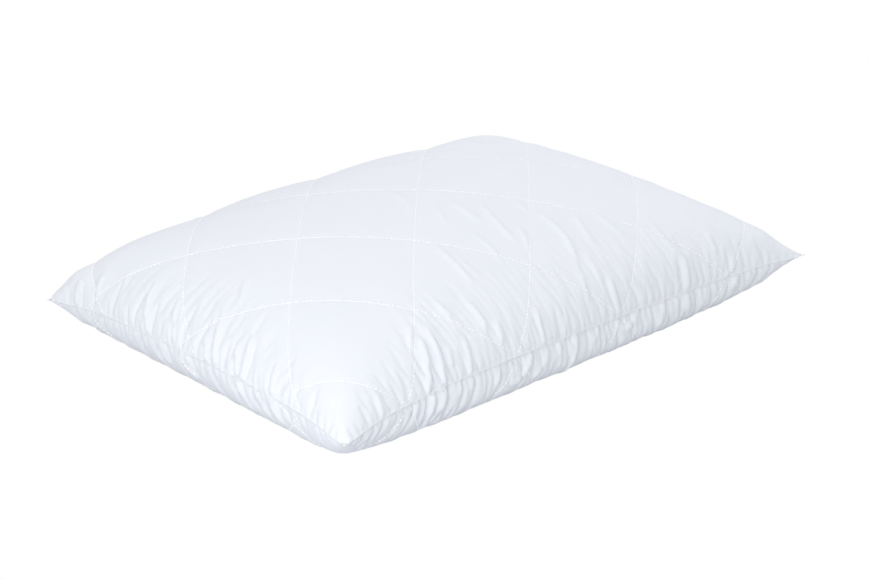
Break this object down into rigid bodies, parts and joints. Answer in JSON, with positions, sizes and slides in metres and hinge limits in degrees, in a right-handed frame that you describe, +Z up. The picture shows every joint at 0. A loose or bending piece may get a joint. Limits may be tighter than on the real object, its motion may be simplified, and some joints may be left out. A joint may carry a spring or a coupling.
{
  "type": "bed pillow",
  "caption": "Rectangular bed pillow with a diamond-quilted white cover, plain knife-edge seam and loose fibre fill, lying flat.",
  "frame": {"origin": "on the floor under the middle of the pillow, at the bottom centre of its bounding box", "axes": "+X along the long side, +Y along the short side, +Z up through the pillow's thickness"},
  "size_m": [0.6952, 0.4952, 0.1732],
  "materials": {
    "cover_fabric": "fine plain-weave white cotton and polyester, slightly lustrous",
    "wadding": "soft bonded polyester wadding",
    "backing": "thin white non-woven backing",
    "fibre_fill": "loose crimped white polyester fibre",
    "thread": "white spun polyester sewing thread"
  },
  "bodies": {
    "root": {"bottom_backing": "backing", "bottom_cover": "cover_fabric", "bottom_quilt_thread_a1": "thread", "bottom_quilt_thread_a2": "thread", "bottom_quilt_thread_a3": "thread", "bottom_quilt_thread_a4": "thread", "bottom_quilt_thread_a5": "thread", "bottom_quilt_thread_a6": "thread", "bottom_quilt_thread_a7": "thread", "bottom_quilt_thread_b1": "thread", "bottom_quilt_thread_b2": "thread", "bottom_quilt_thread_b3": "thread", "bottom_quilt_thread_b4": "thread", "bottom_quilt_thread_b5": "thread", "bottom_quilt_thread_b6": "thread", "bottom_quilt_thread_b7": "thread", "bottom_wadding": "wadding", "closing_seam_thread": "thread", "edge_seam_thread": "thread", "fibre_fill": "fibre_fill", "overlock_thread": "thread", "seam_allowance": "cover_fabric", "top_backing": "backing", "top_cover": "cover_fabric", "top_quilt_thread_a1": "thread", "top_quilt_thread_a2": "thread", "top_quilt_thread_a3": "thread", "top_quilt_thread_a4": "thread", "top_quilt_thread_a5": "thread", "top_quilt_thread_a6": "thread", "top_quilt_thread_a7": "thread", "top_quilt_thread_b1": "thread", "top_quilt_thread_b2": "thread", "top_quilt_thread_b3": "thread", "top_quilt_thread_b4": "thread", "top_quilt_thread_b5": "thread", "top_quilt_thread_b6": "thread", "top_quilt_thread_b7": "thread", "top_wadding": "wadding"}
  },
  "joints": []
}
